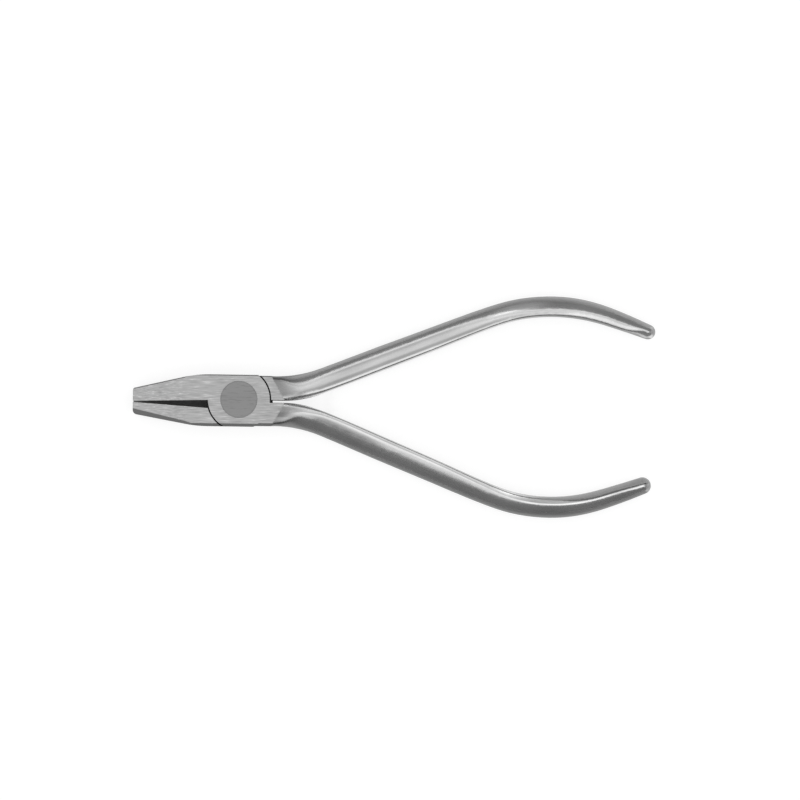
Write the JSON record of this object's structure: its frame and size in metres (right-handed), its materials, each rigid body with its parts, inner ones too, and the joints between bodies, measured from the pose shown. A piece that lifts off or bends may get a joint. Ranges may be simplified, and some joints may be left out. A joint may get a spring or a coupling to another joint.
{
  "type": "orthodontic pliers",
  "caption": "Slim steel pliers with flat tapering jaws, a lap joint on a flush rivet and long bowed handles, for bending and gripping orthodontic wire.",
  "frame": {"origin": "on the pivot axis, at the flat back of the lap joint", "axes": "+X from the pivot towards the handles, along the tool; +Y across the tool, towards the handle of the rear half; +Z along the pivot, from the back towards the front with the rivet's head"},
  "size_m": [0.1293, 0.0549, 0.0074],
  "materials": {
    "front_steel": "ground flat faces with fine lengthwise lines, satin polished handle",
    "rear_steel": "ground flat faces with fine lengthwise lines, satin polished handle",
    "rivet_steel": "matt ground disc"
  },
  "bodies": {
    "rear": {"rear_half": "rear_steel", "pivot_rivet": "rivet_steel"},
    "front": {"front_half": "front_steel"}
  },
  "joints": [
    {"name": "pivot", "type": "hinge", "parent": "rear", "child": "front", "pos_m": [0, 0, 0.0037], "axis": [0, 0, -1], "range_deg": [-0.5, 60]}
  ]
}
